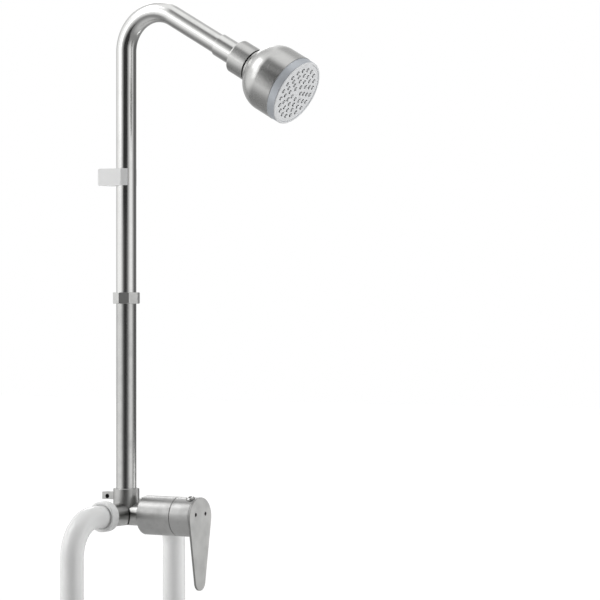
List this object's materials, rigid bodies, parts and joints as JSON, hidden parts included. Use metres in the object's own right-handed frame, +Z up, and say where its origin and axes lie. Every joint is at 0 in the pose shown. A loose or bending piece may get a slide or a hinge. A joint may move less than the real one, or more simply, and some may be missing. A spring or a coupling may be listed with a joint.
{
  "type": "outdoor shower",
  "caption": "Wall-held outdoor shower: supply pipes feed a single-lever mixing valve, and a coupled riser with a bent arm carries a tilting shower head.",
  "frame": {"origin": "centre of the wall face of the lug behind the valve", "axes": "+Z up along the riser, +Y into the wall, so the shower stands in front of the wall towards -Y; +X to the cold side"},
  "size_m": [0.221, 0.2618, 0.7054],
  "materials": {
    "valve_steel": "satin, fine sanded cast body",
    "tube_steel": "brushed across the tube, soft reflections",
    "lever_steel": "turned and brushed around the axis",
    "bell_steel": "satin spun steel",
    "screw_steel": "dark stainless",
    "brass": "machined",
    "ceramic": "lapped ceramic",
    "cartridge_plastic": "moulded",
    "lining_plastic": "slippery moulded plastic",
    "black_rubber": "matt",
    "glide_plastic": "matt, thin",
    "white_plastic": "glossy white plumbing plastic",
    "ring_plastic": "satin grey moulding",
    "chamber_plastic": "moulded",
    "face_plastic": "pale satin moulding",
    "nozzle_rubber": "soft white silicone",
    "restrictor_plastic": "moulded"
  },
  "bodies": {
    "fixture": {"valve_body": "valve_steel", "riser_seal": "black_rubber", "riser_set_screw": "screw_steel", "cartridge_housing": "lever_steel", "port_seals": "black_rubber", "cartridge_base": "cartridge_plastic", "fixed_disc": "ceramic", "cartridge_shell": "cartridge_plastic", "spindle_seal": "black_rubber", "cartridge_nut": "brass", "glide_ring": "glide_plastic", "hot_supply_pipe": "white_plastic", "cold_supply_pipe": "white_plastic", "hot_union_nut": "white_plastic", "cold_union_nut": "white_plastic", "union_washers": "black_rubber", "lower_riser_tube": "tube_steel", "coupling_insert": "valve_steel", "coupling_washer": "black_rubber", "tail_ring": "valve_steel", "coupling_nut": "tube_steel", "upper_riser_tube": "tube_steel", "riser_clip": "white_plastic", "arm_sleeve": "tube_steel", "collar_washer": "black_rubber", "swivel_collar": "bell_steel"},
    "handle": {"handle_hub": "lever_steel", "clamp_screw": "screw_steel", "lever_plate": "lever_steel", "plate_screws": "screw_steel", "spindle": "brass", "moving_disc": "ceramic"},
    "swivel": {"ball_lining": "lining_plastic"},
    "head": {"ball_retainer": "brass", "ball_socket": "brass", "flow_restrictor": "restrictor_plastic", "bell": "bell_steel", "water_chamber": "chamber_plastic", "nozzle_mat": "nozzle_rubber", "spray_plate": "face_plastic", "head_ring": "ring_plastic"}
  },
  "joints": [
    {"name": "lever_turn", "type": "hinge", "parent": "fixture", "child": "handle", "pos_m": [0, -0.1, -0.0196], "axis": [0, -1, 0], "range_deg": [-30, 60]},
    {"name": "head_nod", "type": "hinge", "parent": "fixture", "child": "swivel", "pos_m": [0, -0.20673, 0.45151], "axis": [1, 0, 0], "range_deg": [-10, 10]},
    {"name": "head_swing", "type": "hinge", "parent": "swivel", "child": "head", "pos_m": [0, -0.20673, 0.45151], "axis": [0, -0.5, 0.866], "range_deg": [-10, 10]}
  ]
}
